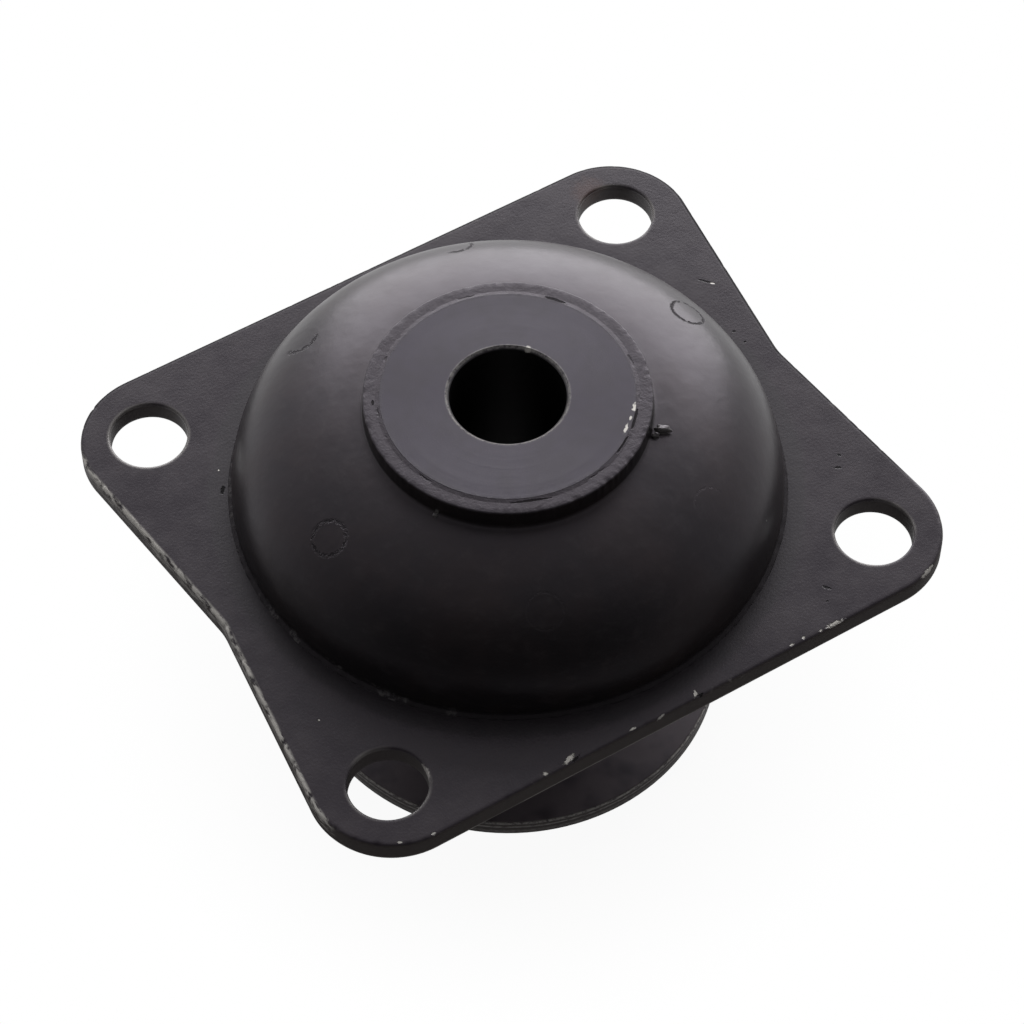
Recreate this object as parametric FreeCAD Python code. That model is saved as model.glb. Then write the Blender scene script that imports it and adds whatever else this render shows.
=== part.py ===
import FreeCAD, Part
import math
import os
from collections import namedtuple

# Engine mount with a four-bolt flange: a rubber body bonded to a pressed steel
# flange plate and to a headed steel sleeve, with a steel rebound washer swaged
# onto the sleeve's lower end.
#
# Frame: millimetres, +Z up along the sleeve's bore, X along the wider bolt
# spacing. The origin is on the bore's axis in the plane of the flange plate's
# underside, the face that seats on the frame bracket.

# ---- Driving dimensions --------------------------------------------------

# Flange plate, pressed from sheet
plate_thickness = 4.0
bolt_spacing_x = 100.0
bolt_spacing_y = 86.0
bolt_hole_diameter = 14.0
edge_margin = 13.0
corner_radius = 15.0
waist_depth = 4.8
waist_rounding = 12.0
plate_edge_bevel = 0.4
collar_depth = 12.0
collar_bend_radius = 2.5

# Headed sleeve, turned from bar
overall_height = 82.3
bore_diameter = 20.5
sleeve_wall = 5.75
head_diameter = 45.4
head_thickness = 5.0
head_flare = 3.0
head_edge_bevel = 0.4
bore_bevel = 0.6
head_above_plate = 26.3
spigot_wall = 3.25

# Rebound washer, punched from sheet and swaged onto the sleeve's spigot
washer_diameter = 80.0
washer_thickness = 4.0
washer_edge_bevel = 0.4
washer_fit_clearance = 0.05
swage_height = 1.5
swage_recess = 0.2

# Rubber body, one moulding above and below the plate
dome_diameter = 98.8
crown_height = 22.2
crown_slope = 14.5
shoulder_rounding = 18.0
base_land = 1.0
base_lip_width = 0.8
base_lip_height = 0.6
rim_wall = 2.6
rim_edge_bevel = 0.6
rim_root_bevel = 0.8
rim_below_head = 0.3
collar_cover = 2.0
collar_cover_bevel = 0.8
collar_wall_of_rubber = 20.0
cone_end_diameter = 44.0
cone_end_bevel = 2.0
rebound_gap = 9.0

# ---- Sizes and places that follow ----------------------------------------

plate_top = plate_thickness
bore_radius = bore_diameter / 2
tube_radius = bore_radius + sleeve_wall
spigot_radius = bore_radius + spigot_wall
head_radius = head_diameter / 2
head_top = plate_top + head_above_plate
head_underside = head_top - head_thickness

collar_inner_radius = tube_radius + collar_wall_of_rubber
collar_outer_radius = collar_inner_radius + plate_thickness
bend_end_radius = collar_outer_radius + collar_bend_radius
bevel_like_round = 2 - math.sqrt(2)
bend_inner_bevel = bevel_like_round * collar_bend_radius
bend_outer_bevel = bevel_like_round * (collar_bend_radius + plate_thickness)

washer_radius = washer_diameter / 2
washer_bottom = head_top - overall_height
washer_top = washer_bottom + washer_thickness
sleeve_bottom = washer_bottom + swage_recess
swage_radius = spigot_radius + swage_height

dome_radius = dome_diameter / 2
crown_top = plate_top + crown_height
rim_radius = head_radius + rim_wall
rim_top = head_top - rim_below_head
cone_end = washer_top + rebound_gap
crown_angle = math.radians(crown_slope)
crown_width = dome_radius - rim_radius
shoulder_top = crown_top - crown_width * math.tan(crown_angle)
shoulder_room = min(shoulder_top - plate_top - base_land,
                    crown_width / math.cos(crown_angle) - rim_root_bevel)
shoulder_radius = min(shoulder_rounding,
                      shoulder_room * math.tan((math.pi / 2 + crown_angle) / 2))


# ---- Outlines ------------------------------------------------------------

# A corner of an outline at (a, b). Its size is the radius of a tangent arc or,
# on a bevelled corner, the length that the bevel takes off each side.
Corner = namedtuple("Corner", "a b size bevelled", defaults=(0, False))

same_place = 1e-6


def turned_corner(before, corner, after):
    """Start, middle and end of the arc or bevel that turns a corner."""
    point = FreeCAD.Vector(corner.a, corner.b, 0)
    to_before = (FreeCAD.Vector(before.a, before.b, 0) - point).normalize()
    to_after = (FreeCAD.Vector(after.a, after.b, 0) - point).normalize()
    half_angle = to_before.getAngle(to_after) / 2
    setback = corner.size if corner.bevelled else corner.size / math.tan(half_angle)
    nearest = corner.size / math.sin(half_angle) - corner.size
    middle = point + (to_before + to_after).normalize() * nearest
    return point + to_before * setback, middle, point + to_after * setback


def outline(corners, place):
    """Closed wire through the corners; place turns a flat point into a real one."""
    edges = []
    turns = [turned_corner(corners[index - 1], corner, corners[(index + 1) % len(corners)])
             for index, corner in enumerate(corners)]
    for index, (start, middle, end) in enumerate(turns):
        side_start = place(turns[index - 1][2])
        side_end = place(start)
        if not side_start.isEqual(side_end, same_place):
            edges.append(Part.LineSegment(side_start, side_end).toShape())
        if corners[index].bevelled:
            edges.append(Part.LineSegment(side_end, place(end)).toShape())
        elif corners[index].size > 0:
            edges.append(Part.Arc(side_end, place(middle), place(end)).toShape())
    return Part.Wire(edges)


def turned(corners):
    """Solid of revolution about Z of a half section whose corners are (r, z)."""
    section = outline(corners, lambda point: FreeCAD.Vector(point.x, 0, point.y))
    return Part.Face(section).revolve(FreeCAD.Vector(0, 0, 0), FreeCAD.Vector(0, 0, 1), 360)


def round_cutter(radius, bottom, top, centre=(0, 0)):
    """Cylinder to cut a round hole with."""
    return Part.makeCylinder(radius, top - bottom, FreeCAD.Vector(*centre, bottom))


# ---- Flange plate --------------------------------------------------------

def waist_line_reach(half_length_y):
    """X at which the side that touches the corner arc and passes through the
    waist's middle reaches the long edge."""
    half_length_x = bolt_spacing_x / 2 + edge_margin
    centre_x = half_length_x - corner_radius
    centre_y = half_length_y - corner_radius
    waist_x = half_length_x - waist_depth
    distance = math.hypot(centre_x - waist_x, centre_y)
    slope = (math.atan2(centre_y, centre_x - waist_x)
             - math.asin(corner_radius / distance))
    return waist_x, waist_x + half_length_y / math.tan(slope)


def plate_corners():
    """Round corners outside the bolt holes, and two sides drawn in at the middle."""
    half_length_y = bolt_spacing_y / 2 + edge_margin
    waist_x, corner_x = waist_line_reach(half_length_y)
    return [Corner(corner_x, -half_length_y, corner_radius),
            Corner(waist_x, 0, waist_rounding),
            Corner(corner_x, half_length_y, corner_radius),
            Corner(-corner_x, half_length_y, corner_radius),
            Corner(-waist_x, 0, waist_rounding),
            Corner(-corner_x, -half_length_y, corner_radius)]


def make_flange_plate():
    """Blank with broken edges, four bolt holes and a collar drawn downwards."""
    blank = Part.Face(outline(plate_corners(), lambda point: point)).extrude(
        FreeCAD.Vector(0, 0, plate_thickness))
    long_edges = [edge for edge in blank.Edges if edge.BoundBox.ZLength < same_place]
    plate = blank.makeChamfer(plate_edge_bevel, long_edges)

    plate = plate.cut(round_cutter(bend_end_radius, 0, plate_top))
    collar = turned([Corner(bend_end_radius, 0),
                     Corner(bend_end_radius, plate_top),
                     Corner(collar_inner_radius, plate_top, bend_outer_bevel, True),
                     Corner(collar_inner_radius, -collar_depth),
                     Corner(collar_outer_radius, -collar_depth),
                     Corner(collar_outer_radius, 0, bend_inner_bevel, True)])
    plate = plate.fuse(collar)

    for x_side in (-1, 1):
        for y_side in (-1, 1):
            centre = (x_side * bolt_spacing_x / 2, y_side * bolt_spacing_y / 2)
            plate = plate.cut(round_cutter(bolt_hole_diameter / 2, 0, plate_top, centre))
    return plate.removeSplitter()


# ---- Headed sleeve -------------------------------------------------------

def make_inner_sleeve():
    """Tube with a flat head, and a spigot whose end is spread into the washer."""
    return turned([Corner(bore_radius, head_top, bore_bevel, True),
                   Corner(head_radius, head_top, head_edge_bevel, True),
                   Corner(head_radius, head_underside),
                   Corner(tube_radius, head_underside, head_flare, True),
                   Corner(tube_radius, washer_top),
                   Corner(spigot_radius, washer_top),
                   Corner(spigot_radius, washer_bottom + swage_height),
                   Corner(swage_radius - swage_recess, sleeve_bottom),
                   Corner(bore_radius, sleeve_bottom, bore_bevel, True)])


# ---- Rebound washer ------------------------------------------------------

def make_rebound_washer():
    """Flat disc, countersunk below for the sleeve's spread end."""
    hole_radius = spigot_radius + washer_fit_clearance
    countersink_radius = swage_radius + washer_fit_clearance
    return turned([Corner(hole_radius, washer_top),
                   Corner(washer_radius, washer_top, washer_edge_bevel, True),
                   Corner(washer_radius, washer_bottom, washer_edge_bevel, True),
                   Corner(countersink_radius, washer_bottom),
                   Corner(hole_radius, washer_bottom + swage_height)])


# ---- Rubber body ---------------------------------------------------------

def make_rubber_body():
    """Rim round the head, sloping crown, round shoulder, filled collar and lower
    cone in one section."""
    lip_top = plate_top + base_lip_height
    lip_radius = dome_radius + base_lip_width
    cover_end = -collar_depth - collar_cover
    return turned([Corner(head_radius, head_underside),
                   Corner(head_radius, rim_top),
                   Corner(rim_radius, rim_top, rim_edge_bevel, True),
                   Corner(rim_radius, crown_top, rim_root_bevel, True),
                   Corner(dome_radius, shoulder_top, shoulder_radius),
                   Corner(dome_radius, lip_top),
                   Corner(lip_radius, lip_top),
                   Corner(lip_radius, plate_top),
                   Corner(collar_inner_radius, plate_top, bend_outer_bevel, True),
                   Corner(collar_inner_radius, -collar_depth),
                   Corner(collar_outer_radius, -collar_depth),
                   Corner(collar_outer_radius, cover_end, collar_cover_bevel, True),
                   Corner(cone_end_diameter / 2, cone_end, cone_end_bevel, True),
                   Corner(tube_radius, cone_end),
                   Corner(tube_radius, head_underside, head_flare, True)])


# ---- Build ---------------------------------------------------------------

sub_parts = {"flange_plate": make_flange_plate,
             "inner_sleeve": make_inner_sleeve,
             "rebound_washer": make_rebound_washer,
             "rubber_body": make_rubber_body}

os.makedirs("parts", exist_ok=True)
for name, make in sub_parts.items():
    solid = make()
    box = solid.BoundBox
    print(f"{name}: valid {solid.isValid()}, solids {len(solid.Solids)}, "
          f"volume {solid.Volume:.1f} mm3, z {box.ZMin:.2f} to {box.ZMax:.2f}")
    solid.exportStep(f"parts/{name}.step")
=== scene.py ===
import math

import bmesh
import bpy
import numpy as np
from mathutils import Matrix, Vector


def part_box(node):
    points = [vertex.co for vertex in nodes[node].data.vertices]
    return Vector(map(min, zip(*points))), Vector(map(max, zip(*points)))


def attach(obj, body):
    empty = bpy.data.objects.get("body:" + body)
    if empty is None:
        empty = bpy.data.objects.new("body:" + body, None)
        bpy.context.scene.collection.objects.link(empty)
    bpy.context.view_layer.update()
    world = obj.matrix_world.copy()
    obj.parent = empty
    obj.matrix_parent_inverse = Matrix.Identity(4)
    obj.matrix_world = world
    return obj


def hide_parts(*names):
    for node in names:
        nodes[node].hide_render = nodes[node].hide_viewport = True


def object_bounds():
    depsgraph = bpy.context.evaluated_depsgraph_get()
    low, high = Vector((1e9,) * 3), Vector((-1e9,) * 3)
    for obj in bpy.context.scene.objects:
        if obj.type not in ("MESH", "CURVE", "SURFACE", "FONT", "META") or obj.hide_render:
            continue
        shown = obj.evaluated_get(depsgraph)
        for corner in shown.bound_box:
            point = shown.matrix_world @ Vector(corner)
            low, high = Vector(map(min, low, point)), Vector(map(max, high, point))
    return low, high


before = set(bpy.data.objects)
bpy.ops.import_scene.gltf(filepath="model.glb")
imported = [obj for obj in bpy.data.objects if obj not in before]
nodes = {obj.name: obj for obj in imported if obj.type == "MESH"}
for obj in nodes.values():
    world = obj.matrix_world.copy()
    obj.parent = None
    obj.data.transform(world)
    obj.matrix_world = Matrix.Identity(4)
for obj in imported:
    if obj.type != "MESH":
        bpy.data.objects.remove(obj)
cad_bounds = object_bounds()
MM = 0.001
OVAL_HEIGHT = 0.8
FAR_AWAY = 9.0


# ---- Flange plate ----------------------------------------------------------
# Pressed from 4 mm steel sheet, with four punched bolt holes and a collar drawn
# down round the rubber. It is dipped in satin black paint, which handling has
# rubbed and chipped off along the sheared edges. Its colour also holds painted
# shade round the dome's foot and along the back and right top edges, and a
# painted highlight along the lower edge.

class Value:
    """A number or a colour that varies over a surface, for use in sums."""

    def __init__(self, nodes_of, socket):
        self.nodes_of = nodes_of
        self.socket = socket

    def math(self, operation, first, second=0.0):
        settings = {"operation": operation}
        return self.nodes_of.node("ShaderNodeMath", settings, {0: first, 1: second})

    def __add__(self, other):
        return self.math("ADD", self, other)

    __radd__ = __add__

    def __sub__(self, other):
        return self.math("SUBTRACT", self, other)

    def __rsub__(self, other):
        return self.math("SUBTRACT", other, self)

    def __mul__(self, other):
        return self.math("MULTIPLY", self, other)

    __rmul__ = __mul__

    def __truediv__(self, other):
        return self.math("DIVIDE", self, other)

    def __pow__(self, other):
        return self.math("POWER", self, other)

    def __abs__(self):
        return self.math("ABSOLUTE", self)

    def __gt__(self, other):
        return self.math("GREATER_THAN", self, other)

    def at_least(self, other):
        return self.math("MAXIMUM", self, other)

    def at_most(self, other):
        return self.math("MINIMUM", self, other)

    def rise(self, low, high):
        """0 up to low, 1 from high, and a smooth step between them."""
        return self.nodes_of.node("ShaderNodeMapRange", {"interpolation_type": "SMOOTHSTEP"},
                                  {"Value": self, "From Min": low, "From Max": high})

    def fall(self, low, high):
        """1 up to low, 0 from high."""
        return 1.0 - self.rise(low, high)

    def near(self, middle, reach):
        """1 where the value is at middle, 0 from reach away from it."""
        return abs(self - middle).fall(0.0, reach)


class Nodes:
    """A node tree that expressions on its values add to."""

    def __init__(self, tree):
        self.tree = tree

    def node(self, kind, settings=None, inputs=None, output=0):
        """Adds a node, sets it up, feeds its inputs and gives one of its outputs."""
        node = self.tree.nodes.new(kind)
        for name, value in (settings or {}).items():
            setattr(node, name, value)
        for key, value in (inputs or {}).items():
            self.feed(node.inputs[key], value)
        return Value(self, node.outputs[output])

    def feed(self, socket, value):
        if isinstance(value, Value):
            self.tree.links.new(value.socket, socket)
        else:
            socket.default_value = value


class Finish(Nodes):
    """A material on the Principled shader. Places in it are in millimetres."""

    def __init__(self, name, **constants):
        self.material = bpy.data.materials.new(name)
        self.material.use_nodes = True
        super().__init__(self.material.node_tree)
        self.shader = self.tree.nodes["Principled BSDF"]
        for socket_name, value in constants.items():
            self.shader.inputs[socket_name.replace("_", " ")].default_value = value
        metres = self.node("ShaderNodeTexCoord", output="Object")
        self.place = self.node("ShaderNodeVectorMath", {"operation": "SCALE"},
                               {0: metres, "Scale": 1 / MM})
        self.x, self.y, self.z = (self.node("ShaderNodeSeparateXYZ", None, {0: self.place}, axis)
                                  for axis in "XYZ")
        self.radius = (self.x ** 2 + self.y ** 2) ** 0.5

    def distance(self, *centre):
        """Distance from a place."""
        return self.node("ShaderNodeVectorMath", {"operation": "DISTANCE"},
                         {0: self.place, 1: centre}, "Value")

    def from_oval(self, x, y, z, turn, length, width):
        """Distance from the middle of a small oval that lies flat, 1 at its edge. It
        reaches OVAL_HEIGHT up and down, or half its width if that is more."""
        local = self.node("ShaderNodeMapping", {"vector_type": "TEXTURE"},
                          {"Vector": self.place, "Location": (x, y, z),
                           "Rotation": (0, 0, math.radians(turn)),
                           "Scale": (length / 2, width / 2, max(width / 2, OVAL_HEIGHT))})
        return self.node("ShaderNodeVectorMath", {"operation": "LENGTH"}, {0: local}, "Value")

    def from_ovals(self, ovals, z):
        """The same from the nearest of several ovals at that height."""
        nearest = FAR_AWAY
        for x, y, turn, length, width in ovals:
            nearest = self.from_oval(x, y, z, turn, length, width).at_most(nearest)
        return nearest

    def noise(self, size, detail, roughness, stretch=(1, 1, 1)):
        """Cloudy noise about 0.5, with lumps of about that many millimetres."""
        place = self.node("ShaderNodeVectorMath", {"operation": "MULTIPLY"},
                          {0: self.place, 1: stretch})
        return self.node("ShaderNodeTexNoise", None,
                         {"Vector": place, "Scale": 1 / size, "Detail": detail,
                          "Roughness": roughness})

    def specks(self, spacing, size, share):
        """1 on scattered specks of that size, on that share of places."""
        cells = {"Vector": self.place, "Scale": 1 / spacing}
        distance = self.node("ShaderNodeTexVoronoi", None, cells, "Distance")
        chosen = self.node("ShaderNodeTexVoronoi", None, cells, "Color")
        return (distance.fall(size / spacing / 2, size / spacing)
                * self.node("ShaderNodeSeparateColor", None, {0: chosen}).fall(share, share + 0.01))

    def mix(self, first, second, factor):
        """Colour between first and second."""
        return self.node("ShaderNodeMix", {"data_type": "RGBA"},
                         {0: factor, 6: first, 7: second}, 2)

    def finish(self, colour, roughness, height, metallic=0.0):
        """Joins colour, roughness, metal and a relief in millimetres to the shader."""
        self.feed(self.shader.inputs["Base Color"], colour)
        self.feed(self.shader.inputs["Roughness"], roughness)
        self.feed(self.shader.inputs["Metallic"], metallic)
        relief = self.node("ShaderNodeBump", None,
                           {"Height": height, "Distance": MM, "Strength": 1.0})
        self.feed(self.shader.inputs["Normal"], relief)
        return self.material


def arc_points(before, corner, after, radius, spacing):
    """Points of the tangent arc that turns a corner."""
    corner = np.array(corner, float)
    to_before = np.array(before, float) - corner
    to_after = np.array(after, float) - corner
    to_before /= np.linalg.norm(to_before)
    to_after /= np.linalg.norm(to_after)
    half_angle = math.acos(float(np.clip(to_before @ to_after, -1, 1))) / 2
    start = corner + to_before * radius / math.tan(half_angle)
    bisector = to_before + to_after
    centre = corner + bisector / np.linalg.norm(bisector) * radius / math.sin(half_angle)
    turn = math.pi - 2 * half_angle
    way = math.copysign(1, to_before[0] * to_after[1] - to_before[1] * to_after[0])
    steps = max(4, round(turn * radius / spacing))
    swings = -way * turn * np.arange(steps + 1) / steps
    arm = start - centre
    return list(centre + np.stack([arm[0] * np.cos(swings) - arm[1] * np.sin(swings),
                                   arm[0] * np.sin(swings) + arm[1] * np.cos(swings)], axis=1))


def closed_line(corners):
    """Closed line through corners (a, b, rounding, spacing): the spacing is that of
    the points on the corner's arc and on the side that follows it."""
    runs = []
    for index, (a, b, rounding, spacing) in enumerate(corners):
        before = corners[index - 1][:2]
        after = corners[(index + 1) % len(corners)][:2]
        if rounding:
            runs.append(arc_points(before, (a, b), after, rounding, spacing))
        else:
            runs.append([np.array((a, b), float)])
    line = []
    for index, run in enumerate(runs):
        start, end = run[-1], runs[(index + 1) % len(runs)][0]
        steps = max(1, math.ceil(np.linalg.norm(end - start) / corners[index][3]))
        line += run
        line += [start + (end - start) * step / steps for step in range(1, steps)]
    return np.array(line)


def circle(radius, centre, count):
    """Clockwise circle, so that the metal lies to its left."""
    angles = -np.arange(count) * 2 * math.pi / count
    return np.stack([centre[0] + radius * np.cos(angles),
                     centre[1] + radius * np.sin(angles)], axis=1)


def wobble(count, finest, seed):
    """Smooth noise of unit spread along a closed line of count points."""
    chance = np.random.default_rng(seed)
    waves = np.zeros(count // 2 + 1, complex)
    waves[1:finest] = chance.normal(size=finest - 1) + 1j * chance.normal(size=finest - 1)
    noise = np.fft.irfft(waves, count)
    return noise / noise.std()


def new_piece(name, mesh):
    """Object for a finished mesh, smoothly shaded up to sharp edges."""
    mesh.validate()
    mesh.shade_smooth()
    mesh.set_sharp_from_angle(angle=SHARP_ANGLE)
    piece = bpy.data.objects.new(name, mesh)
    bpy.context.scene.collection.objects.link(piece)
    return piece


BOLT_X = 50.0
BOLT_Y = 43.0
BOLT_HOLE_RADIUS = 7.0
CORNER_RADIUS = 15.0
WAIST_DEPTH = 4.8
WAIST_ROUNDING = 12.0
COLLAR_WALL = 4.0
COLLAR_BEND = 2.5
COLLAR_RADIUS = 40.0
SHEAR_ROLL = 0.55
SHEAR_BURR = 0.15
HOLE_ROLL = 0.4
SHARP_ANGLE = math.radians(40)
OUTLINE_SPACING = 0.4
EDGE_STRIP = 0.4
# How far a nick in the sheared edge reaches inwards, and how much of it goes down.
NICK_REACH = 1.6
NICK_DROP = 0.6
NICK_DEPTH_LEFT = 0.20
NICK_DEPTH_ELSEWHERE = 0.04

plate_low, plate_high = (corner / MM for corner in map(np.array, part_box("flange_plate")))
plate_top = plate_high[2]
collar_end = plate_low[2]
half_x, half_y = plate_high[0], plate_high[1]
corner_x, corner_y = half_x - CORNER_RADIUS, half_y - CORNER_RADIUS
waist_x = half_x - WAIST_DEPTH
side_slope = (math.atan2(corner_y, corner_x - waist_x)
              - math.asin(CORNER_RADIUS / math.hypot(corner_x - waist_x, corner_y)))
side_lean = math.pi / 2 - side_slope
side_reach = waist_x + half_y / math.tan(side_slope)

plate_outline = closed_line([
    (side_reach, -half_y, CORNER_RADIUS, OUTLINE_SPACING),
    (waist_x, 0, WAIST_ROUNDING, OUTLINE_SPACING),
    (side_reach, half_y, CORNER_RADIUS, OUTLINE_SPACING),
    (-side_reach, half_y, CORNER_RADIUS, OUTLINE_SPACING),
    (-waist_x, 0, WAIST_ROUNDING, OUTLINE_SPACING),
    (-side_reach, -half_y, CORNER_RADIUS, OUTLINE_SPACING)])


def quarter(from_point, corner, to_point, steps=5):
    """Points of a rounded edge of a profile, from one side to the other."""
    swing = np.linspace(0, math.pi / 2, steps)[:, None]
    start, corner, end = (np.array(point, float) for point in (from_point, corner, to_point))
    return [tuple(point) for point in
            start + end - corner + (corner - end) * np.cos(swing) + (corner - start) * np.sin(swing)]


def sheet_profile(top, bottom, roll, burr):
    """Sheared edge of sheet as (inset, z): rolled over above, sharper below."""
    return ([(roll + EDGE_STRIP, top)]
            + quarter((roll, top), (0, top), (0, top - roll))
            + [(0, top + (bottom - top) * share) for share in (0.35, 0.5, 0.65, 0.8)]
            + quarter((0, bottom + burr), (0, bottom), (burr, bottom), steps=3)
            + [(burr + EDGE_STRIP, bottom)])


def sweep(mesh, line, profile, nicks=None):
    """Sweeps a profile of (inset, z) round a closed line and gives the edges of its
    first and last loops. Nicks press the loops near the top edge in."""
    along = np.roll(line, -1, axis=0) - np.roll(line, 1, axis=0)
    inward = np.stack([-along[:, 1], along[:, 0]], axis=1)
    inward /= np.linalg.norm(inward, axis=1)[:, None]
    loops = []
    for inset, z in profile:
        depth = np.full(len(line), float(inset))
        drop = np.zeros(len(line))
        if nicks is not None:
            at_edge = max(0.0, 1 - (inset + plate_top - z) / NICK_REACH)
            depth += nicks * at_edge
            drop = nicks * at_edge * NICK_DROP * (inset < SHEAR_ROLL)
        flat = line + inward * depth[:, None]
        loops.append([mesh.verts.new((x * MM, y * MM, (z - low) * MM))
                      for (x, y), low in zip(flat, drop)])
    for upper, lower in zip(loops, loops[1:]):
        for index in range(len(line)):
            follow = (index + 1) % len(line)
            mesh.faces.new((upper[index], lower[index], lower[follow], upper[follow]))
    return [[mesh.edges.get((loop[index], loop[(index + 1) % len(loop)]))
             for index in range(len(loop))] for loop in (loops[0], loops[-1])]


bend_end = COLLAR_RADIUS + COLLAR_BEND
collar_inner = COLLAR_RADIUS - COLLAR_WALL
bend_depth = plate_top - COLLAR_BEND - COLLAR_WALL
collar_profile = ([(0.0, plate_top)]
                  + quarter((0, plate_top), (collar_inner - bend_end, plate_top),
                            (collar_inner - bend_end, bend_depth), steps=10)
                  + [(collar_inner - bend_end, collar_end), (-COLLAR_BEND, collar_end)]
                  + quarter((-COLLAR_BEND, -COLLAR_BEND), (-COLLAR_BEND, 0), (0, 0), steps=8))

plate_mesh = bmesh.new()
edge_nicks = ((wobble(len(plate_outline), finest=260, seed=3) - 1.0).clip(0, 2.5)
              * np.where(plate_outline[:, 0] < -BOLT_X, NICK_DEPTH_LEFT, NICK_DEPTH_ELSEWHERE))
rims = [sweep(plate_mesh, plate_outline,
              sheet_profile(plate_top, 0.0, SHEAR_ROLL, SHEAR_BURR), edge_nicks)]
for x_side in (-1, 1):
    for y_side in (-1, 1):
        hole = circle(BOLT_HOLE_RADIUS, (x_side * BOLT_X, y_side * BOLT_Y), count=120)
        rims.append(sweep(plate_mesh, hole,
                          sheet_profile(plate_top, 0.0, HOLE_ROLL, SHEAR_BURR)))
rims.append(sweep(plate_mesh, circle(bend_end, (0, 0), count=360), collar_profile))
for side, upwards in ((0, 1), (1, -1)):
    bmesh.ops.triangle_fill(plate_mesh, use_beauty=True, normal=(0, 0, upwards),
                            edges=[edge for rim in rims for edge in rim[side]])
bmesh.ops.remove_doubles(plate_mesh, verts=plate_mesh.verts[:], dist=0.002 * MM)
bmesh.ops.recalc_face_normals(plate_mesh, faces=plate_mesh.faces[:])
plate_data = bpy.data.meshes.new("pressed_flange")
plate_mesh.to_mesh(plate_data)
plate_mesh.free()
plate = new_piece("pressed_flange", plate_data)

PAINT = (0.024, 0.0185, 0.025, 1)
PAINT_WORN = (0.038, 0.031, 0.037, 1)
PAINT_SHEEN = (0.97, 0.92, 1.0, 1)
# Painted shade: the plate's top is darker in a ring round the dome's foot.
DOME_FOOT_SHADE = (0.012, 0.011, 0.012, 1)
EDGE_GRIME = (0.050, 0.041, 0.036, 1)
# Near-black for the pits, and painted shade along the back and right top edges.
PIT_AND_SHADE_BLACK = (0.003, 0.003, 0.003, 1)
# Bare steel where the paint is worn off, also used for painted highlights along some edges.
BARE_STEEL_AND_HIGHLIGHT = (0.52, 0.50, 0.47, 1)
RUST = (0.10, 0.045, 0.028, 1)
# Chips through the paint, and dark scratches and pits: each has its place on the
# plate's top, the turn of its long way, its length and its width.
CHIPS = [(-21.3, -54.9, 22, 3.2, 1.1), (-26.2, -55.2, 30, 1.3, 1.0), (4.3, -55.0, 60, 1.5, 0.9),
         (-8.7, -55.4, 0, 1.4, 0.5), (-3.3, -55.8, 10, 1.8, 0.4), (24.1, -55.3, 0, 1.0, 0.6),
         (33.0, -55.5, -2, 4.0, 0.9), (26.7, -55.1, 0, 1.1, 0.7), (30.1, -55.4, 0, 1.0, 0.5),
         (53.3, -54.9, 18, 4.6, 0.9), (-53.7, -25.9, 0, 0.6, 0.5), (-48.4, -55.4, 0, 1.2, 0.5),
         (-54.1, -53.9, -30, 1.2, 0.5), (56.5, 19.4, -40, 1.0, 0.5), (-42.9, 29.5, 0, 0.6, 0.4)]
PITS = [(36.0, -48.5, -52, 2.0, 0.7), (-44.4, 25.3, 59, 2.3, 0.8), (54.2, -25.8, -60, 0.9, 0.6),
        (52.4, -28.0, -30, 1.4, 0.6), (55.5, 20.6, -48, 3.4, 0.5), (53.6, 7.7, 0, 0.8, 0.6),
        (54.0, 4.6, 0, 0.7, 0.6), (4.9, -55.7, 0, 1.3, 0.6), (-20.2, -55.4, 20, 2.4, 0.5),
        (34.5, -51.0, 0, 0.6, 0.4)]
# Where a bolt has rubbed the wall of the near left hole.
HOLE_RUB = [(-43.1, -44.6, 77, 6.0, 1.4)]

paint = Finish("worn_black_paint", Specular_IOR_Level=0.38, Specular_Tint=PAINT_SHEEN)
past_side = ((abs(paint.x) - waist_x) * math.cos(side_lean)
             - abs(paint.y) * math.sin(side_lean))
past_long_edge = abs(paint.y) - half_y
from_corner_x = abs(paint.x) - corner_x
from_corner_y = abs(paint.y) - corner_y
in_corner = ((from_corner_x > 0.0)
             * ((from_corner_x * math.sin(side_lean) + from_corner_y * math.cos(side_lean)) > 0.0))
past_corner = (from_corner_x ** 2 + from_corner_y ** 2) ** 0.5 - CORNER_RADIUS
inside_edge = -1.0 * (past_side.at_least(past_long_edge) * (1.0 - in_corner)
                      + past_corner * in_corner)
from_hole = (((abs(paint.x) - BOLT_X) ** 2 + (abs(paint.y) - BOLT_Y) ** 2) ** 0.5
             - BOLT_HOLE_RADIUS)

mottle = paint.noise(8.0, 3.0, 0.6)
grain = paint.noise(0.5, 1.0, 0.5)
rub = paint.noise(1.3, 3.0, 0.7)
fine = paint.noise(0.6, 2.0, 0.7)
streaks = paint.noise(0.9, 3.0, 0.6, (1, 0.3, 1))
patches = paint.noise(12.0, 2.0, 0.6)
below_top = plate_top - paint.z
on_side = inside_edge.fall(0.05, 0.3)
rolled_edge = (inside_edge + below_top).fall(0.3, 1.0)
burr_edge = (inside_edge + paint.z).fall(0.2, 0.5)
back_side = paint.y.rise(48.0, 54.0)
right_side = paint.x.rise(50.0, 56.0) * paint.y.rise(-40.0, -30.0)
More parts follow.
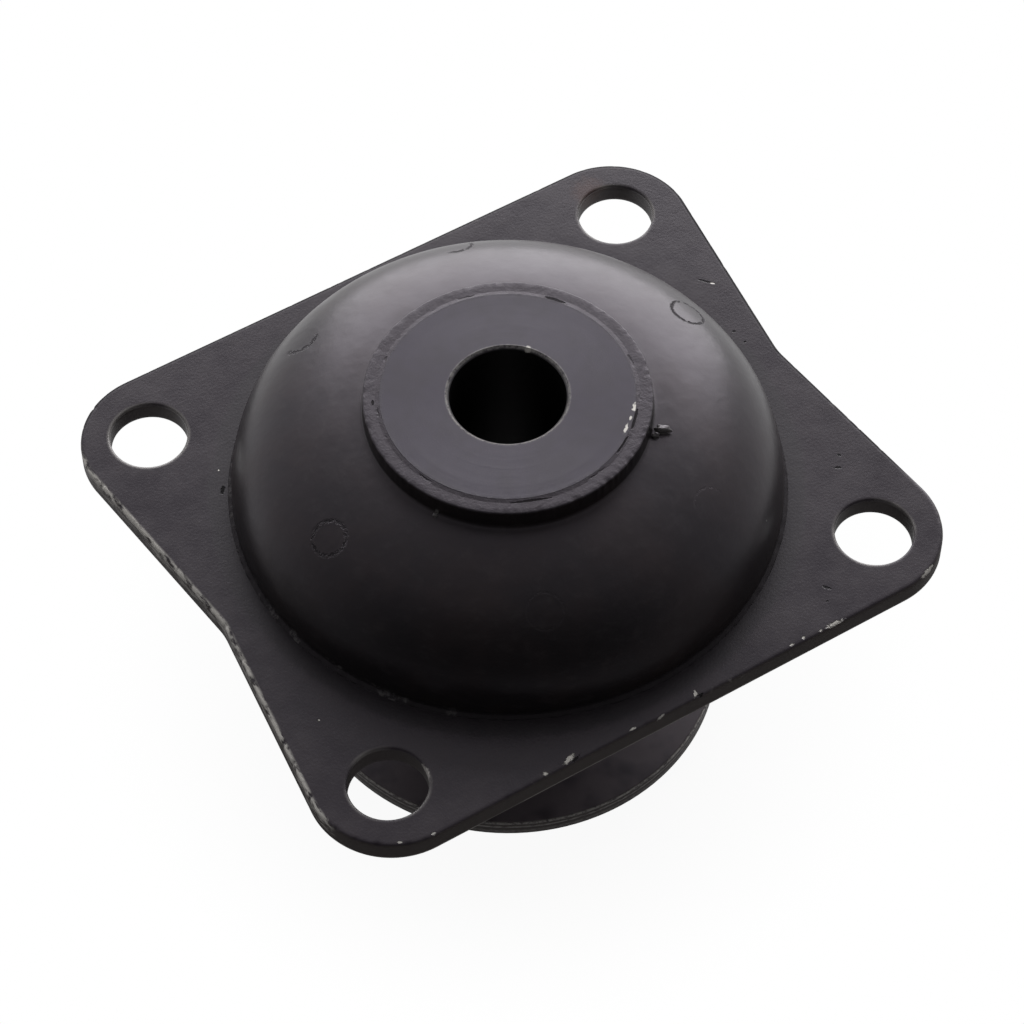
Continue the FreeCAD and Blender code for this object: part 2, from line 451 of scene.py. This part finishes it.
# Painted shade: the rounded top edge on the back and right sides is painted near-black.
back_and_right_edge_shade = (inside_edge + below_top).fall(0.4, 0.8) * back_side.at_least(right_side)
left_side = (paint.x * -1.0).rise(30.0, 50.0) * past_side.rise(-1.8, -0.9)
on_hole_wall = abs(from_hole).fall(0.1, 0.4) * below_top.rise(0.2, 0.8)
side_wear = (on_side * left_side * paint.z.rise(0.9, 2.2) * streaks.rise(0.40, 0.62)
             * (0.25 + patches.rise(0.35, 0.6) * 0.55))
edge_wear = rolled_edge * (left_side * streaks.rise(0.38, 0.52)
                           + rub.rise(0.55, 0.70) * patches.rise(0.45, 0.65) * 0.35)
# Along the lower burr edge, the bare steel is partly wear and partly a painted highlight line.
burr_wear_and_highlight = burr_edge * (1.0 - left_side) * (0.15 + patches.rise(0.35, 0.65) * 0.4)
hole_wear = (abs(from_hole) + below_top).fall(0.2, 0.8) * patches.rise(0.35, 0.60) * 0.35
chips = ((paint.from_ovals(CHIPS, plate_top) + (fine - 0.5) * 1.8).fall(0.55, 1.0)
         .at_least(paint.specks(9.0, 0.30, 0.10)))
pits = (paint.from_ovals(PITS, plate_top) + (fine - 0.5) * 1.6).fall(0.55, 1.0)
hole_rub = (paint.from_ovals(HOLE_RUB, plate_top - 0.6) + (rub - 0.5) * 1.4).fall(0.5, 1.0)
wear_and_highlight = ((side_wear * 0.8).at_least(edge_wear).at_least(burr_wear_and_highlight).at_least(hole_wear)
        .at_least(chips).at_least(hole_rub * 0.9))

# Painted shade round the dome's foot: a darker, slightly rougher ring on the plate's top.
dome_foot_shade = (paint.radius + (mottle - 0.5) * 3.0).fall(52.8, 54.4) * below_top.fall(0.1, 0.3)
rust_spot = (paint.distance(48.8, 50.2, plate_top) + (rub - 0.5) * 5.0).fall(1.5, 4.5)

colour = paint.mix(PAINT, PAINT_WORN, mottle.rise(0.3, 0.7))
colour = paint.mix(colour, DOME_FOOT_SHADE, dome_foot_shade * 0.6)
colour = paint.mix(colour, EDGE_GRIME, (on_side * 0.85).at_least(on_hole_wall * 0.7))
colour = paint.mix(colour, PIT_AND_SHADE_BLACK, (pits * 0.9).at_least(back_and_right_edge_shade * 0.9))
colour = paint.mix(colour, RUST, rust_spot * 0.4)
colour = paint.mix(colour, BARE_STEEL_AND_HIGHLIGHT, wear_and_highlight)
plate_finish = paint.finish(
    colour, (0.32 + (mottle - 0.5) * 0.20 + dome_foot_shade * 0.08
             + on_side.at_least(on_hole_wall) * 0.25 + back_and_right_edge_shade.at_least(pits) * 0.5),
    ((mottle - 0.5) * 0.06 + (grain - 0.5) * 0.02 - chips * 0.15 - pits * 0.2
     + (streaks - 0.5) * (left_side * (rolled_edge + on_side)) * 0.20),
    wear_and_highlight * 0.5)
plate.data.materials.append(plate_finish)
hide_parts("flange_plate")
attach(plate, "root")


# ---- Rubber body -----------------------------------------------------------
# One moulding of black natural rubber, vulcanised onto the plate and the sleeve:
# a dome and a rim above the plate, and a cone below it. Six round marks where the
# mould was fed and torn flash along its joints are left as they came out.

HEAD_THICKNESS = 5.0
HEAD_FLARE = 3.0
HEAD_EDGE_BEVEL = 0.4
TUBE_RADIUS = 16.0
# The rim laps over the head's bevel in a thin film and stands a little proud.
RIM_WALL = 2.6
RIM_EDGE = 0.35
RIM_ROOT = 0.6
RIM_SWELL = 0.14
RIM_LAP = 0.35
FILM = 0.03
CROWN_ABOVE_PLATE = 22.2
CROWN_BEND_RADIUS = 33.5
CROWN_ROUNDING = 40.0
INNER_SLOPE = math.radians(9)
OUTER_SLOPE = math.radians(24)
SHOULDER_ROUNDING = 18.3
LIP_WIDTH = 0.8
LIP_HEIGHT = 0.6
LIP_ROUNDING = 0.5
LIP_FEATHER = 0.15
SOFT_EDGE = 0.1
COLLAR_COVER = 2.0
COLLAR_COVER_ROUNDING = 1.0
CONE_END_RADIUS = 22.0
CONE_END_ROUNDING = 3.5
# Crumbs of torn rubber at the rim's foot: angle, radius, length, width.
CRUMBS = [(-41.1, 27.4, 3.6, 1.5), (-44.5, 26.4, 1.6, 1.1), (-149.9, 25.9, 1.3, 0.8)]
# Places where the rim has come loose from the head, given like the plate's chips.
RIM_GAPS = [(-8.4, -21.3, -22, 7.0, 0.45), (18.0, 13.6, 127, 3.8, 0.8),
            (15.9, -16.0, 45, 4.5, 0.5), (11.2, -19.5, 30, 4.0, 0.45), (-20.9, 10.7, 63, 1.2, 0.5)]
TURNS = 600
FINE, MEDIUM, COARSE = 0.6, 1.5, 30.0

RIM_UNEVEN = 0.06
LIP_UNEVEN = 0.14
FEED_MARK_SIZE = 3.2
FEED_MARK_STEP = 0.8
RING_WIDTH = 0.30
RING_SPREAD = 0.15
RING_RELIEF = 0.7
# How dark the rings are painted, as painted shade in their grooves.
RING_SHADE_STRENGTH = 9.0
# Direction and distance of each feed mark from the bore, its ring's depth and
# raggedness, how deep its face is sunk, and which way its ring shows, if not all round.
FEED_MARKS = [(-172.4, 39.4, 0.14, 1.5, 0.05, None), (6.6, 41.0, 0.20, 1.0, 0.03, None),
              (71.9, 42.5, 0.16, 1.8, 0.0, -75), (121.0, 41.8, 0.20, 2.2, 0.04, -95),
              (-112.3, 40.1, 0.03, 0.6, 0.07, None), (-58.2, 39.4, 0.03, 0.5, 0.0, 100)]

sleeve_high = np.array(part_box("inner_sleeve")[1]) / MM
rubber_low, rubber_high = (corner / MM for corner in map(np.array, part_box("rubber_body")))
head_radius = sleeve_high[0]
head_top = sleeve_high[2]
head_underside = head_top - HEAD_THICKNESS
lip_radius = rubber_high[0]
dome_radius = lip_radius - LIP_WIDTH
rim_top = rubber_high[2] + RIM_SWELL
rim_radius = head_radius + RIM_WALL
crown_top = plate_top + CROWN_ABOVE_PLATE
bend_top = crown_top - (CROWN_BEND_RADIUS - rim_radius) * math.tan(INNER_SLOPE)
shoulder_top = bend_top - (dome_radius - CROWN_BEND_RADIUS) * math.tan(OUTER_SLOPE)
cone_end = rubber_low[2]

rubber_section = closed_line([
    (head_radius, head_underside, 0, COARSE),
    (head_radius, head_top - HEAD_EDGE_BEVEL, 0, FINE),
    (head_radius - HEAD_EDGE_BEVEL + FILM, head_top - FILM, 0, FINE),
    (head_radius + RIM_LAP, rim_top, SOFT_EDGE, FINE),
    (rim_radius, rim_top, RIM_EDGE, FINE),
    (rim_radius, crown_top, RIM_ROOT, FINE),
    (CROWN_BEND_RADIUS, bend_top, CROWN_ROUNDING, FINE),
    (dome_radius, shoulder_top, SHOULDER_ROUNDING, FINE),
    (dome_radius, plate_top + LIP_HEIGHT, LIP_ROUNDING, FINE),
    (lip_radius, plate_top + LIP_FEATHER, SOFT_EDGE, FINE),
    (lip_radius, plate_top, 0, COARSE),
    (collar_inner, plate_top, COLLAR_WALL + COLLAR_BEND, MEDIUM),
    (collar_inner, collar_end, 0, COARSE),
    (COLLAR_RADIUS, collar_end, 0, MEDIUM),
    (COLLAR_RADIUS, collar_end - COLLAR_COVER, COLLAR_COVER_ROUNDING, MEDIUM),
    (CONE_END_RADIUS, cone_end, CONE_END_ROUNDING, MEDIUM),
    (TUBE_RADIUS, cone_end, 0, COARSE),
    (TUBE_RADIUS, head_underside - HEAD_FLARE, 0, COARSE),
    (TUBE_RADIUS + HEAD_FLARE, head_underside, 0, COARSE)])

on_dome = (rubber_section[:, 0] > rim_radius + 1) & (rubber_section[:, 1] > plate_top + 1)
dome_line = rubber_section[on_dome]


def around(degrees, distance):
    """Place (x, y) at that angle and distance from the bore's axis."""
    return distance * math.cos(math.radians(degrees)), distance * math.sin(math.radians(degrees))


feed_marks = [(*around(angle, distance), float(np.interp(distance, *dome_line.T)), *look)
              for angle, distance, *look in FEED_MARKS]


def moulded(angle, r, z, normal_r, normal_z):
    """The section as it came out of the mould: feed marks, an uneven rim and lip."""
    x, y = r * np.cos(angle), r * np.sin(angle)
    push = np.zeros(r.shape)
    for mark_x, mark_y, mark_z, ring, ragged, sunk, shows in feed_marks:
        away = np.sqrt((x - mark_x) ** 2 + (y - mark_y) ** 2 + (z - mark_z) ** 2)
        push += sunk * np.clip((FEED_MARK_SIZE - away) / FEED_MARK_STEP, 0, 1)
    on_wall = np.clip((z - crown_top) / (rim_top - crown_top), 0, 1) * (r > rim_radius - 0.5)
    waves = abs(wobble(len(angle), finest=60, seed=11))[:, None]
    push += on_wall * (r < rim_radius + 0.1) * waves * RIM_UNEVEN
    on_lip = (r > dome_radius + 0.1) & (z > plate_top - 0.01)
    push += on_lip * (wobble(len(angle), finest=120, seed=12)[:, None] + 1).clip(0, 3) * LIP_UNEVEN
    return r - push * normal_r, z - push * abs(normal_z) * (1 - on_lip)


def turned_mesh(name, section, turns):
    """Closed ring mesh of a section (r, z) in millimetres, turned about Z, with the
    marks of the mould pressed into it."""
    along = np.roll(section, -1, axis=0) - np.roll(section, 1, axis=0)
    outward = np.stack([-along[:, 1], along[:, 0]], axis=1)
    outward /= np.linalg.norm(outward, axis=1)[:, None]
    angles = np.arange(turns) * 2 * math.pi / turns
    angle, r = np.meshgrid(angles, section[:, 0], indexing="ij")
    z, normal_r, normal_z = (np.broadcast_to(values, r.shape)
                             for values in (section[:, 1], outward[:, 0], outward[:, 1]))
    r, z = moulded(angle, r, z, normal_r, normal_z)
    points = np.stack([r * np.cos(angle), r * np.sin(angle), z], axis=-1).reshape(-1, 3) * MM
    rows = len(section)
    first = np.arange(turns)[:, None] * rows + np.arange(rows)
    following = np.roll(first, -1, axis=1)
    faces = np.stack([first, following, np.roll(following, -1, axis=0),
                      np.roll(first, -1, axis=0)], axis=-1).reshape(-1, 4)
    mesh = bpy.data.meshes.new(name)
    mesh.from_pydata(points.tolist(), [], faces.tolist())
    return mesh


def add_crumb(mesh, angle, radius, length, width, seed):
    """Ragged crumb of torn rubber that hangs on the rim's foot."""
    chance = np.random.default_rng(seed)
    place = (Matrix.Translation(Vector((*around(angle, radius), crown_top + width * 0.2)) * MM)
             @ Matrix.Rotation(math.radians(angle), 4, "Z")
             @ Matrix.Diagonal(Vector((length / 2, width / 2, width / 2, 1 / MM)) * MM))
    lump = bmesh.ops.create_icosphere(mesh, subdivisions=3, radius=1.0)["verts"]
    bumps = chance.normal(size=(9, 3))
    bumps /= np.linalg.norm(bumps, axis=1)[:, None]
    for vert in lump:
        swell = max(float(np.dot(bump, vert.co)) for bump in bumps) ** 6
        vert.co = place @ (vert.co * (0.55 + 0.55 * swell))


rubber_mesh = bmesh.new()
rubber_mesh.from_mesh(turned_mesh("turned_section", rubber_section, TURNS))
for seed, crumb in enumerate(CRUMBS, start=5):
    add_crumb(rubber_mesh, *crumb, seed)
rubber_data = bpy.data.meshes.new("rubber_moulding")
rubber_mesh.to_mesh(rubber_data)
rubber_mesh.free()
rubber = new_piece("rubber_moulding", rubber_data)

RUBBER_BLACK = (0.0085, 0.0075, 0.0080, 1)
RUBBER_BROWN = (0.0150, 0.0105, 0.0098, 1)
RIM_DUSTED = (0.042, 0.037, 0.045, 1)
DUST = (0.16, 0.15, 0.15, 1)
FLASH_GREY = (0.10, 0.095, 0.095, 1)
# Near-black for dark joints, and for painted shade on the feed-mark rings and the lip.
SHADE_AND_JOINT_BLACK = (0.004, 0.0035, 0.0035, 1)
RUBBER_SHEEN = (0.97, 0.87, 1.0, 1)

skin = Finish("moulded_rubber", Specular_IOR_Level=0.5, Specular_Tint=RUBBER_SHEEN)
bloom = skin.noise(16.0, 3.0, 0.6)
drag = skin.noise(5.0, 2.0, 0.6)
tears = skin.noise(0.9, 3.0, 0.75)
on_rim_top = (skin.z - rim_top).rise(-0.30, -0.05)
seam = (skin.radius + (tears - 0.5) * 0.8).near(head_radius + 0.1, 0.28)
gaps = (skin.from_ovals(RIM_GAPS, rim_top) + (tears - 0.5) * 0.6).fall(0.8, 1.1)
joint = on_rim_top * (seam * drag.rise(0.55, 0.65) * 0.5).at_least(gaps)
torn = on_rim_top * tears.rise(0.55, 0.70)
scuff = skin.noise(3.0, 3.0, 0.65, (1, 1, 2))
crumb_places = [(*around(angle, radius), angle, length * 1.1, width * 1.5)
                for angle, radius, length, width in CRUMBS]
on_crumb = skin.from_ovals(crumb_places, crown_top + 0.5).fall(0.9, 1.1)
at_lip = (skin.radius + (tears - 0.5) * 1.2).rise(dome_radius - 0.3, dome_radius + 0.2)
# Painted shade: the lip at the dome's foot is painted near-black.
on_lip = (skin.radius - dome_radius).rise(-0.4, 0.0) * (skin.z - plate_top).fall(0.6, 1.6)
lip_flecks = (at_lip * (skin.z - plate_top).fall(1.2, 2.0) * drag.rise(0.50, 0.60)
              * tears.rise(0.45, 0.60) * (skin.x * -1.0).rise(20.0, 45.0))

# Each feed mark's ring gets a groove in the relief and painted shade along it.
ring_height = 0.0
ring_shade = 0.0
for mark_x, mark_y, mark_z, ring, ragged, sunk, shows in feed_marks:
    away = skin.distance(mark_x, mark_y, mark_z) + (tears - 0.5) * ragged
    line = away.near(FEED_MARK_SIZE, RING_WIDTH + RING_SPREAD * ragged) * tears.rise(0.40, 0.50)
    if shows is not None:
        facing = math.radians(shows)
        line = line * ((skin.x - mark_x) * math.cos(facing)
                       + (skin.y - mark_y) * math.sin(facing)).rise(0.5, 1.8)
    ring_height = ring_height + line * (ring * RING_RELIEF)
    ring_shade = ring_shade + line * (ring * RING_SHADE_STRENGTH)

colour = skin.mix(RUBBER_BLACK, RUBBER_BROWN, bloom.rise(0.35, 0.75))
colour = skin.mix(colour, DUST, scuff.rise(0.50, 0.75) * 0.04)
colour = skin.mix(colour, RIM_DUSTED, on_rim_top * (0.75 + (drag - 0.5) * 0.7))
# Painted shade in the feed-mark rings.
colour = skin.mix(colour, SHADE_AND_JOINT_BLACK, ring_shade.at_most(1.0))
colour = skin.mix(colour, FLASH_GREY, torn * 0.30)
colour = skin.mix(colour, FLASH_GREY, on_crumb)
# Painted shade on the lip at the dome's foot.
colour = skin.mix(colour, SHADE_AND_JOINT_BLACK, on_lip * 0.8)
colour = skin.mix(colour, FLASH_GREY, lip_flecks * 0.8)
colour = skin.mix(colour, SHADE_AND_JOINT_BLACK, joint * 0.9)
colour = skin.mix(colour, DUST, skin.specks(6.0, 0.22, 0.30))
rubber_finish = skin.finish(
    colour, (0.36 + (bloom - 0.5) * 0.18 + (scuff - 0.5) * 0.12 + on_rim_top * 0.12
             + (ring_shade.at_most(1.0) + on_lip + joint) * 0.4),
    ((bloom - 0.5) * 0.14 + (drag - 0.5) * 0.05 + (scuff - 0.5) * 0.03
     + (tears - 0.5) * on_rim_top * 0.10 - ring_height - joint * 0.3))
rubber.data.materials.append(rubber_finish)
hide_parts("rubber_body")
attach(rubber, "root")


# ---- Headed sleeve ---------------------------------------------------------
# Turned from steel bar: a tube with a flat head, painted satin blue-black over the
# turning marks. The bore is left bare, and its wall is painted black as the shade inside it.

HEAD_PAINT = (0.044, 0.037, 0.056, 1)
HEAD_PAINT_DULL = (0.037, 0.031, 0.045, 1)
# Painted shade inside the bore.
BORE_SHADE_BLACK = (0.004, 0.004, 0.004, 1)
BORE_RADIUS = 10.25
# Flakes of paint lost at the head's edge, given like the plate's chips.
HEAD_FLAKES = [(17.2, -13.8, 50, 2.4, 1.0), (13.5, -16.9, 40, 3.2, 0.7),
               (15.5, -15.4, 45, 1.3, 0.6)]

coat = Finish("sleeve_paint", Specular_IOR_Level=0.5, Specular_Tint=PAINT_SHEEN)
turning = coat.node("ShaderNodeTexNoise", {"noise_dimensions": "1D"},
                    {"W": coat.radius * 3.0, "Detail": 2.0})
cloud = coat.noise(7.0, 2.0, 0.6)
scrape = coat.noise(0.8, 3.0, 0.75)
on_head = coat.radius.rise(BORE_RADIUS + 0.05, BORE_RADIUS + 0.3)
# The bore's top edge is partly worn bare and partly a painted highlight along its edge.
bore_edge_wear_and_highlight = coat.radius.near(BORE_RADIUS + 0.45, 0.45) * coat.z.rise(head_top - 0.7, head_top - 0.3)
outer_edge = (coat.radius + (scrape - 0.5) * 1.4).rise(head_radius - 1.0, head_radius - 0.2)
flakes = (coat.from_ovals(HEAD_FLAKES, head_top) + (scrape - 0.5) * 2.2).fall(0.5, 0.9)
white_chip = (coat.distance(8.2, 6.7, head_top - 0.2) + (scrape - 0.5) * 0.8).fall(0.4, 0.8)

colour = coat.mix(HEAD_PAINT, HEAD_PAINT_DULL, cloud.rise(0.35, 0.7))
colour = coat.mix(colour, RIM_DUSTED, outer_edge * 0.7)
colour = coat.mix(BORE_SHADE_BLACK, colour, on_head)
shine = (bore_edge_wear_and_highlight * scrape.rise(0.3, 0.6) * 0.6).at_least(flakes).at_least(white_chip)
colour = coat.mix(colour, BARE_STEEL_AND_HIGHLIGHT, shine)
colour = coat.mix(colour, DUST, coat.specks(5.0, 0.16, 0.35) * on_head)
head_finish = coat.finish(
    colour, 0.40 + (cloud - 0.5) * 0.12 + outer_edge * 0.12,
    (turning - 0.5) * 0.02 + (cloud - 0.5) * 0.03 + (scrape - 0.5) * outer_edge * 0.12,
    shine * 0.6)
nodes["inner_sleeve"].data.materials.clear()
nodes["inner_sleeve"].data.materials.append(head_finish)


# ---- Rebound washer --------------------------------------------------------
# A flat disc punched from 4 mm sheet, painted with the plate and held on the
# sleeve's spread lower end. Its sheared rim is rubbed bright in three bands.

washer_low, washer_high = (corner / MM for corner in map(np.array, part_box("rebound_washer")))
washer_radius = washer_high[0]
washer_thickness = washer_high[2] - washer_low[2]

WASHER_DUSTY = (0.085, 0.072, 0.080, 1)

disc = Finish("washer_paint", Specular_IOR_Level=0.5, Specular_Tint=PAINT_SHEEN)
washer_mottle = disc.noise(7.0, 2.0, 0.6)
streak = disc.noise(0.9, 3.0, 0.7, (1, 1, 2.5))
up_rim = (disc.z - washer_low[2]) / washer_thickness + (streak - 0.5) * 0.05
at_rim = disc.radius.rise(washer_radius - 0.5, washer_radius - 0.2)
bands = (up_rim.near(0.92, 0.08).at_least(up_rim.near(0.66, 0.10) * 0.8)
         .at_least(up_rim.near(0.30, 0.20) * 0.4))
rim_wear = bands * at_rim * streak.rise(0.35, 0.6)
colour = disc.mix(WASHER_DUSTY, PAINT, washer_mottle.rise(0.4, 0.8))
colour = disc.mix(colour, EDGE_GRIME, at_rim * (1.0 - bands))
colour = disc.mix(colour, BARE_STEEL_AND_HIGHLIGHT, rim_wear * 0.8)
washer_finish = disc.finish(
    colour, 0.38 + (washer_mottle - 0.5) * 0.2,
    (washer_mottle - 0.5) * 0.05 + bands * at_rim * 0.12 + (streak - 0.5) * at_rim * 0.12,
    rim_wear * 0.6)
nodes["rebound_washer"].data.materials.clear()
nodes["rebound_washer"].data.materials.append(washer_finish)


# ---- Studio ----------------------------------------------------------------
# A white floor that the washer stands on, a white surround that the part reflects
# brightest from behind, and one large soft lamp low behind it.

CAMERA_AZIMUTH = -31.38
CAMERA_ELEVATION = 54.66
CAMERA_DISTANCE = 0.6471
CAMERA_LENS = 127.58
CAMERA_AIM = Vector((-2.71, -5.82, 4.0)) * MM
FLOOR_HALF = 0.4
FLOOR_GLOW = 0.94
FLOOR_SHADOW_START, FLOOR_SHADOW_END = 40.0, 85.0
FLOOR_MIRRORED_IN_FRONT = 0.12
FLOOR_MIRRORED_START, FLOOR_MIRRORED_END = -80.0, 100.0
SKY_FOR_DIFFUSE = 0.22
SKY_IN_FRONT = 0.03
SKY_DARK_SIDE = 0.9
SKY_FADE_WIDTH = 1.5
SKY_FADE_CURVE = 1.5
SKY_OVERHEAD_LOSS = 0.45
BEHIND_X, BEHIND_Y = 0.5, 0.866

floor_height = cad_bounds[0][2]
floor_mesh = bpy.data.meshes.new("floor")
floor_mesh.from_pydata([(x * FLOOR_HALF, y * FLOOR_HALF, floor_height)
                        for x, y in ((-1, -1), (1, -1), (1, 1), (-1, 1))], [], [(0, 1, 2, 3)])
floor = bpy.data.objects.new("floor", floor_mesh)
bpy.context.scene.collection.objects.link(floor)

floor_paint = Finish("white_floor", Specular_IOR_Level=0.0, Roughness=1.0,
                     Base_Color=(0.96, 0.96, 0.96, 1))
floor_ray = {name: floor_paint.node("ShaderNodeLightPath", output=name)
             for name in ("Is Camera Ray", "Is Glossy Ray", "Is Transmission Ray")}
to_rim = floor_paint.radius.rise(FLOOR_SHADOW_START, FLOOR_SHADOW_END)
shown = (floor_ray["Is Camera Ray"] * (FLOOR_GLOW + (1 - FLOOR_GLOW) * to_rim)
         + floor_ray["Is Glossy Ray"] + floor_ray["Is Transmission Ray"])
mirrored_tone = ((floor_paint.x * BEHIND_X + floor_paint.y * BEHIND_Y)
                 .rise(FLOOR_MIRRORED_START, FLOOR_MIRRORED_END)
                 .at_least(FLOOR_MIRRORED_IN_FRONT))
glow = floor_paint.node("ShaderNodeEmission", None, {
    "Color": floor_ray["Is Camera Ray"].at_least(mirrored_tone), "Strength": 1.0})
surface = floor_paint.node("ShaderNodeMixShader", None,
                           {0: shown, 1: Value(floor_paint, floor_paint.shader.outputs[0]),
                            2: glow})
floor_paint.feed(floor_paint.tree.nodes["Material Output"].inputs["Surface"], surface)
floor.data.materials.append(floor_paint.material)

world = bpy.data.worlds.new("studio")
world.use_nodes = True
bpy.context.scene.world = world
sky = Nodes(world.node_tree)
towards_sky = sky.node("ShaderNodeTexCoord", output="Generated")
height = sky.node("ShaderNodeSeparateXYZ", None, {0: towards_sky}, "Z")
backwards = sky.node("ShaderNodeVectorMath", {"operation": "DOT_PRODUCT"},
                     {0: towards_sky, 1: (BEHIND_X, BEHIND_Y, 0.0)}, "Value")
behind = ((backwards + SKY_DARK_SIDE) / SKY_FADE_WIDTH).at_least(0.0) ** SKY_FADE_CURVE
dimmed = behind.at_most(1.0) * (1.0 - height * height * SKY_OVERHEAD_LOSS) + SKY_IN_FRONT
seen = sky.node("ShaderNodeLightPath", output="Is Camera Ray")
mirrored = (sky.node("ShaderNodeLightPath", output="Is Glossy Ray")
            + sky.node("ShaderNodeLightPath", output="Is Transmission Ray"))
strength = seen + (1.0 - seen) * (mirrored * dimmed + (1.0 - mirrored) * SKY_FOR_DIFFUSE)
background = world.node_tree.nodes["Background"]
background.inputs["Color"].default_value = (1, 1, 1, 1)
sky.feed(background.inputs["Strength"], strength)


def direction(azimuth, elevation):
    """Unit vector from the object towards a viewer or a lamp."""
    turn, lift = math.radians(azimuth), math.radians(elevation)
    return Vector((math.sin(turn) * math.cos(lift), -math.cos(turn) * math.cos(lift),
                   math.sin(lift)))


def soft_lamp(name, azimuth, elevation, distance, size, watts):
    """Area lamp that faces the object; its size is its width and height."""
    light = bpy.data.lights.new(name, "AREA")
    light.shape = "RECTANGLE"
    light.size, light.size_y = size
    light.energy = watts
    lamp = bpy.data.objects.new(name, light)
    towards = direction(azimuth, elevation)
    lamp.location = towards * distance
    lamp.rotation_euler = towards.to_track_quat("Z", "Y").to_euler()
    bpy.context.scene.collection.objects.link(lamp)


soft_lamp("back_softbox", azimuth=143, elevation=22, distance=1.3, size=(1.5, 1.1), watts=21.5)

camera_data = bpy.data.cameras.new("camera")
camera_data.sensor_width = 36
camera_data.lens = CAMERA_LENS
camera = bpy.data.objects.new("camera", camera_data)
towards = direction(CAMERA_AZIMUTH, CAMERA_ELEVATION)
camera.location = CAMERA_AIM + towards * CAMERA_DISTANCE
camera.rotation_euler = towards.to_track_quat("Z", "Y").to_euler()
bpy.context.scene.collection.objects.link(camera)
bpy.context.scene.camera = camera
bpy.context.scene.view_settings.view_transform = "Standard"
